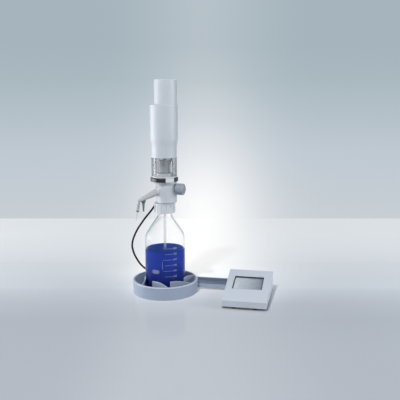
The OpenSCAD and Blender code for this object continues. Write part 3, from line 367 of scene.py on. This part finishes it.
# Below 5.2 mm the tray is near black: painted shade along the gap between the console and the table.
softened("console_base", "console_tray", 0.0005,
         moulded("tray_white_painted_shade", (0.04, 0.045, 0.055), 0.5, grain=1200, painted_light_height=0.0052,
                 above=console_colour))
finish_node(rubber, "console_feet", "power_socket")


def pane(name, colour, alpha, edge, edge_shade=0.97):
    """A clear sheet that shows what is behind it, glossy, and denser along its edges, where its
    colour is painted darker as shade.
    """
    made, point = begin(name)
    smear = point.node("TexNoise", Vector=point, Scale=60, Detail=4)
    slant = point.node("LayerWeight", out=1, Blend=0.5)
    steep = slant * slant * slant
    return dress(made, Base_Color=(smear * 0.2 + steep).blend(colour, [c * edge_shade for c in colour]),
                 Roughness=0.03 + smear * 0.05, Alpha=alpha + slant * slant * edge)


finish_node(pane("touch_glass", (0.75, 0.79, 0.83), 0.10, 0.2), "touch_glass")

front_edge, tilt, window_middle = (0.2146, -0.104, 0.020), atan2(26.6, 166), (-0.0008, 0.0963, 0)
slope = (Matrix.Translation(front_edge) @ Matrix.Rotation(tilt, 4, "X")
         @ Matrix.Translation(window_middle))
bm = bmesh.new()
for width, height, wall, foot, thick in (
        (0.0703, 0.0648, 0.0007, -0.0025, 0.0013),
        (0.0729, 0.0674, 0.0016, -0.00125, 0.0002),
        (0.0729, 0.0674, 0.0005, -0.00105, 0.001)):
    window = bmesh.ops.create_grid(
        bm, x_segments=1, y_segments=1, size=0.5,
        matrix=Matrix.Translation((0, 0, foot)) @ Matrix.Diagonal((width, height, 1, 1)))
    opening = window["verts"][0].link_faces[0]
    band = bmesh.ops.inset_region(bm, faces=[opening], thickness=wall, use_boundary=True,
                                  use_even_offset=True)["faces"]
    bmesh.ops.delete(bm, geom=[opening], context="FACES")
    raised = bmesh.ops.extrude_face_region(bm, geom=band)["geom"]
    bmesh.ops.translate(bm, vec=(0, 0, thick),
                        verts=[v for v in raised if isinstance(v, bmesh.types.BMVert)])
bmesh.ops.recalc_face_normals(bm, faces=bm.faces)
bmesh.ops.transform(bm, matrix=slope, verts=bm.verts)
gasket = placed("screen_gasket", bm, jacket("gasket_grey", (0.03, 0.034, 0.042), 0.6, 1800))
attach(gasket, "base")

panel, point = begin("display")
across = point.node("SeparateXYZ", out=0, Vector=point)
# The display runs from pale at the left to dark at the right: a painted reflection of the bright
# room on the glass.
painted_reflection = ramp((across - 0.18) * (1 / 0.07), ((0.0, (0.92, 0.97, 1.0)), (1.0, (0.24, 0.27, 0.34))))
dots = point.node("TexVoronoi", {"distance": "CHEBYCHEV"}, Vector=point, Scale=2500, Randomness=0.0)
dress(panel, Base_Color=(dots * 0.2).blend(painted_reflection, (0.16, 0.17, 0.19)), Roughness=0.25)
finish_node(panel, "display_panel")

light, point = begin("light_bar")
ripple = point.node("TexNoise", Vector=point, Scale=500, Detail=2)
dress(light, Base_Color=ripple.blend((0.42, 0.46, 0.52), (0.50, 0.54, 0.60)), Roughness=0.2,
      Coat_Weight=0.4)
finish_node(light, "status_light")


def circuit(name):
    """Green solder mask with darker traces and tinned pads."""
    made, point = begin(name)
    traces = point.node("TexBrick", {"offset": 0.5}, out=1, Vector=point, Scale=260,
                        Mortar_Size=0.03)
    pads = point.node("TexVoronoi", Vector=point, Scale=420) < 0.16
    mask = traces.blend((0.010, 0.085, 0.040), (0.006, 0.045, 0.024))
    return dress(made, Base_Color=pads.blend(mask, (0.62, 0.60, 0.55)), Roughness=0.45 - pads * 0.2,
                 Metallic=pads, Coat_Weight=0.3)


finish_node(circuit("console_circuit"), "control_board")


# Bottle
# A blown borosilicate bottle with a conical shoulder and a screw neck. Its white enamel marks
# are fired on: one line for each 100 ml with a plain number, and a bare writing field.
def turned(name, corners, material, steps):
    """A wall profile, as (radius, height, rounding) in millimetres, spun round the bottle's axis."""
    bm = bmesh.new()
    loop = [bm.verts.new((r * 0.001, 0, z * 0.001)) for r, z, _ in corners]
    bm.faces.new(loop)
    rounded = []
    for i, (_, _, rounding) in enumerate(corners):
        if rounding:
            before, after = [(loop[k].co - loop[i].co).normalized()
                             for k in (i - 1, (i + 1) % len(loop))]
            rounded.append((loop[i], 0.001 * rounding / tan(before.angle(after) / 2)))
    for corner, reach in rounded:
        bmesh.ops.bevel(bm, geom=[corner], offset=reach, offset_type="OFFSET",
                        affect="VERTICES", segments=8, profile=0.5, material=-1)
    bmesh.ops.delete(bm, geom=bm.faces[:], context="FACES_ONLY")
    bmesh.ops.spin(bm, geom=bm.verts[:] + bm.edges[:], cent=(0, 0, 0), axis=(0, 0, 1), angle=2 * pi,
                   steps=steps, use_merge=True)
    bmesh.ops.remove_doubles(bm, verts=bm.verts, dist=1e-6)
    bmesh.ops.dissolve_degenerate(bm, edges=bm.edges, dist=1e-7)
    loose = [e for e in bm.edges if not e.link_faces]
    bmesh.ops.delete(bm, geom=loose, context="EDGES")
    bmesh.ops.recalc_face_normals(bm, faces=bm.faces)
    piece = placed(name, bm, material)
    piece.data.shade_smooth()
    piece.data.set_sharp_from_angle(angle=radians(45))
    return piece


def clear(name, tint, ior):
    """Clear glass or plastic with a few faint smears."""
    made, point = begin(name)
    smear = point.node("TexNoise", Vector=point, Scale=35, Detail=4)
    return dress(made, Base_Color=tint, Roughness=(smear > 0.62) * 0.03,
                 Transmission_Weight=1.0, IOR=ior)


bottle_glass = dress(clear("bottle_glass", (0.99, 0.993, 0.995), 1.13), Specular_IOR_Level=0.3)
bottle = turned("glass_bottle", [
    (0, 5.5, 0), (36.5, 5.5, 0), (38, 4, 0.4), (50.5, 4, 9), (50.5, 146.78, 32), (18.5, 194.22, 10),
    (18.5, 208, 0), (22.2, 208.8, 0), (22.2, 210.2, 0), (18.5, 211, 0),
    (18.5, 214, 0), (22.2, 214.8, 0), (22.2, 216.2, 0), (18.5, 217, 0),
    (18.5, 222, 0.9), (15.7, 222, 0.9), (15.7, 193.37, 12.8), (47.7, 145.93, 29.2),
    (47.7, 8, 8), (0, 8, 0)], bottle_glass, 128)
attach(bottle, "base")
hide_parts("bottle")

enamel = moulded("white_enamel", (0.80, 0.82, 0.86), 0.5, grain=2000)
enamel_r, enamel_thick = 0.05052, 0.00006
lowest_mark, mark_gap = 50, 14.25
line_half, numbers_turn = 0.18, radians(-52.5)


def fired(bm, low, high, left, right):
    """A thin enamel patch on the bottle between two heights in mm and two angles in degrees."""
    start = Matrix.Rotation(radians(left), 4, "Z")
    ends = [bm.verts.new(start @ Vector((enamel_r, 0, z * 0.001))) for z in (low, high)]
    bmesh.ops.spin(bm, geom=ends + [bm.edges.new(ends)], cent=(0, 0, 0), axis=(0, 0, 1),
                   angle=radians(right - left), steps=max(2, round((right - left) / 3)))


bm = bmesh.new()
for i in range(6):
    level = lowest_mark + mark_gap * i
    fired(bm, level - line_half, level + line_half, -81 if i % 2 else -76, -54)
fired(bm, 68, 88.5, -83.2, -82.7)
for i in range(6):
    text = bpy.data.curves.new("number", "FONT")
    text.body = str(300 + 100 * i)
    text.size = 0.0068
    text.offset = -0.00012
    text.align_y = "CENTER"
    holder = bpy.data.objects.new("number", text)
    scene.collection.objects.link(holder)
    bpy.context.view_layer.update()
    shaped = holder.evaluated_get(bpy.context.evaluated_depsgraph_get())
    figure = bpy.data.meshes.new_from_object(shaped)
    bpy.data.objects.remove(holder)
    first = len(bm.verts)
    bm.from_mesh(figure)
    bm.verts.ensure_lookup_table()
    for v in bm.verts[first:]:
        turn = numbers_turn + v.co.x / enamel_r
        level = 0.001 * (lowest_mark + mark_gap * i)
        v.co = (enamel_r * cos(turn), enamel_r * sin(turn), v.co.y + level)
bmesh.ops.recalc_face_normals(bm, faces=bm.faces)
bmesh.ops.solidify(bm, geom=bm.faces[:], thickness=enamel_thick)
marks = placed("bottle_marks", bm, enamel)
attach(marks, "base")

field_w, field_h, field_turn, field_z = 0.0198, 0.0100, radians(-103.4), 0.0620
half_step = radians(7.5)
bm = bmesh.new()
bmesh.ops.create_circle(bm, cap_ends=True, segments=24, radius=field_h / 2,
                        matrix=Matrix.Rotation(half_step, 4, "Z"))
for side in (-1, 1):
    bmesh.ops.translate(bm, vec=(side * (field_w - field_h) / 2, 0, 0),
                        verts=[v for v in bm.verts if v.co.x * side > 0])
for i in range(-3, 4):
    bmesh.ops.bisect_plane(bm, geom=bm.verts[:] + bm.edges[:] + bm.faces[:],
                           plane_co=(i * field_w / 8, 0, 0), plane_no=(1, 0, 0))
for v in bm.verts:
    turn = field_turn + v.co.x / enamel_r
    v.co = (enamel_r * cos(turn), enamel_r * sin(turn), field_z + v.co.y)
bmesh.ops.recalc_face_normals(bm, faces=bm.faces)
bmesh.ops.solidify(bm, geom=bm.faces[:], thickness=enamel_thick)
thin_enamel = dress(moulded("thin_enamel", (0.54, 0.60, 0.86), 0.5, grain=2000), Alpha=0.36)
field = placed("writing_field", bm, thin_enamel)
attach(field, "base")

# Reagent
# About 730 ml of a deep blue solution. Its surface creeps up the glass in a small meniscus, and
# it wets the wall, so no air shows between them.
reagent, point = begin("blue_reagent")
depth = point.node("SeparateXYZ", out=2, Vector=point)
cloud = point.node("TexNoise", Vector=point, Scale=20, Detail=2)
# Painted shade: the blue darkens towards the bottom of the liquid.
body = ramp(depth * 9 + cloud * 0.1 - 0.12, (
    (0.0, (0.008, 0.012, 0.07)), (0.12, (0.022, 0.040, 0.30)), (0.5, (0.032, 0.066, 0.46)),
    (1.0, (0.038, 0.085, 0.54))))
# The top surface has its own darker blue: painted shade against the light from above.
surface = depth > 0.1103
dress(reagent, Base_Color=surface.blend(body, (0.028, 0.072, 0.33)), Roughness=0.12,
      Specular_IOR_Level=0.1, Transmission_Weight=0.35, IOR=1.01)
liquid = turned("reagent", [
    (0, 8.02, 0), (47.72, 7.98, 8), (47.72, 111.9, 0), (47.3, 111.7, 0.3), (46.2, 110.7, 1.5),
    (44, 110.5, 0), (0, 110.5, 0)], reagent, 96)
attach(liquid, "base")
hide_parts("liquid")

# Dip tubes and suction valve
# Two telescopic tubes of translucent fluoropolymer reach down into the reagent. Above them a
# sleeve with a glass ball lets the liquid rise and keeps it from running back.
milky, point = begin("milky_tube")
haze = point.node("TexNoise", Vector=point, Scale=120, Detail=3)
dress(milky, Base_Color=haze.blend((0.80, 0.82, 0.88), (0.88, 0.90, 0.94)),
      Roughness=0.25 + haze * 0.1, Alpha=0.14 + haze * 0.06)
finish_node(milky, "dip_tube", "dip_tube_lower")
finish_node(moulded("valve_plastic", (0.70, 0.70, 0.67), 0.3), "valve_seat", "valve_plug",
            "discharge_valve")
finish_node(clear("ball_glass", (0.80, 0.86, 0.88), 1.47), "suction_ball")
finish_node(jacket("gasket_rubber", (0.05, 0.05, 0.055), 0.6, 1800), "bottle_gasket")

# Collar, valve block and knob
# The screw collar has broad grip flutes and turns under the valve block, a thick moulding of
# chemical-proof plastic. The knob on its right turns the three-way plug inside.
block_grey = moulded("block_grey", (0.76, 0.78, 0.81), 0.36)
softened("collar", "grip_collar", 0.0006, moulded("collar_grey", (0.83, 0.85, 0.88), 0.36))
softened("valve_block", "valve_body", 0.0007, block_grey)
finish_node(block_grey, "collar_retainer")
softened("valve_knob", "turn_knob", 0.0004, moulded("knob_grey", (0.37, 0.40, 0.45), 0.38),
         corner=35)

# Discharge arm
# A sloping arm of moulded grey plastic with a translucent nozzle sleeve at its elbow, a fine
# capillary, a dark band and the dark tip cap that is parked on its peg.
softened("discharge_arm", "spout", 0.0004, moulded("spout_grey", (0.59, 0.60, 0.60), 0.34))
# The nozzle sleeve's edges are painted darker as shade.
softened("nozzle", "nozzle_sleeve", 0.0004,
         pane("nozzle_plastic", (0.74, 0.76, 0.77), 0.4, 0.5, edge_shade=0.45))
dark_plastic = moulded("dark_plastic", (0.20, 0.215, 0.23), 0.4)
softened("tip_cap", "parked_cap", 0.0003, dark_plastic)
finish_node(dark_plastic, "nozzle_band")
finish_node(pane("capillary_plastic", (0.55, 0.58, 0.61), 0.25, 0.3), "capillary")

# Dosing cylinder
# A glass barrel in a clear sleeve between a white base and the drive housing, locked to the valve
# block by a gloss-black bayonet ring with a white release button. The piston is pale ceramic.
softened("barrel_base", "cylinder_base", 0.0004, moulded("base_white", (0.88, 0.90, 0.93), 0.3))
softened("lock_button", "release_button", 0.0005,
         moulded("button_white", (0.94, 0.95, 0.97), 0.3))
softened("lock_ring", "bayonet_ring", 0.0004,
         dress(moulded("gloss_black", (0.010, 0.010, 0.013), 0.30, grain=500),
               Specular_IOR_Level=0.7))
# The sleeve's edges are painted almost black: painted shade for the dark lines along its curved
# walls.
sleeve_plastic = pane("sleeve_plastic", (0.58, 0.61, 0.65), 0.12, 0.75, edge_shade=0.06)
finish_node(dress(sleeve_plastic, Specular_IOR_Level=0.2), "clear_sleeve")
finish_node(pane("barrel_glass", (0.46, 0.49, 0.52), 0.14, 0.3), "glass_barrel")
finish_node(moulded("piston_ceramic", (0.88, 0.89, 0.91), 0.3), "piston")
finish_node(moulded("seal_plastic", (0.80, 0.80, 0.78), 0.3), "piston_seal")
finish_node(block_grey, "barrel_holder")


# Drive
# A motor on a plate turns the lead screw through a coupling. The screw moves a carriage with a
# bronze nut on two guide rods, and the carriage pushes the piston rod.
def turned_metal(name, colour, roughness, stretch):
    """Machined metal: fine tool marks and a slight stain."""
    made, point = begin(name)
    stretched = point.node("Mapping", Vector=point, Scale=stretch)
    rings = stretched.node("TexNoise", Vector=stretched, Scale=600, Detail=3)
    stain = point.node("TexNoise", Vector=point, Scale=40, Detail=3)
    low, high = [[c * k for c in colour] for k in (0.88, 1.04)]
    return dress(made, Base_Color=stain.blend(low, high), Metallic=1.0,
                 Roughness=roughness + rings * 0.15,
                 Normal=rings.node("Bump", Strength=0.1, Distance=0.0001, Height=rings))


steel = turned_metal("turned_steel", (0.60, 0.61, 0.63), 0.2, (0.05, 0.05, 1))
finish_node(steel, "piston_rod", "guide_rods", "screw_bearing", "lead_screw", "shaft_coupling",
            "motor_shaft", "motor_standoffs")
finish_node(turned_metal("milled_aluminium", (0.66, 0.67, 0.69), 0.3, (1, 0.05, 0.05)),
            "carriage", "drive_plate", "motor_plate")
finish_node(turned_metal("bronze", (0.55, 0.34, 0.13), 0.25, (0.05, 0.05, 1)),
            "guide_bushes", "drive_nut")
finish_node(moulded("motor_paint", (0.035, 0.037, 0.042), 0.35), "drive_motor")
finish_node(circuit("drive_circuit"), "drive_board")

# Housing
# Two white shells round the drive: a tapered housing and a narrower cover over the motor, with
# the cable's gland and its nut behind.
shell_white = moulded("shell_white", (0.75, 0.785, 0.82), 0.36, grain=1100)
softened("drive_housing", "housing_shell", 0.0008, shell_white, segments=3)
softened("top_cover", "cover_shell", 0.0010, shell_white, segments=3)
finish_node(rubber, "cable_gland", "gland_nut")
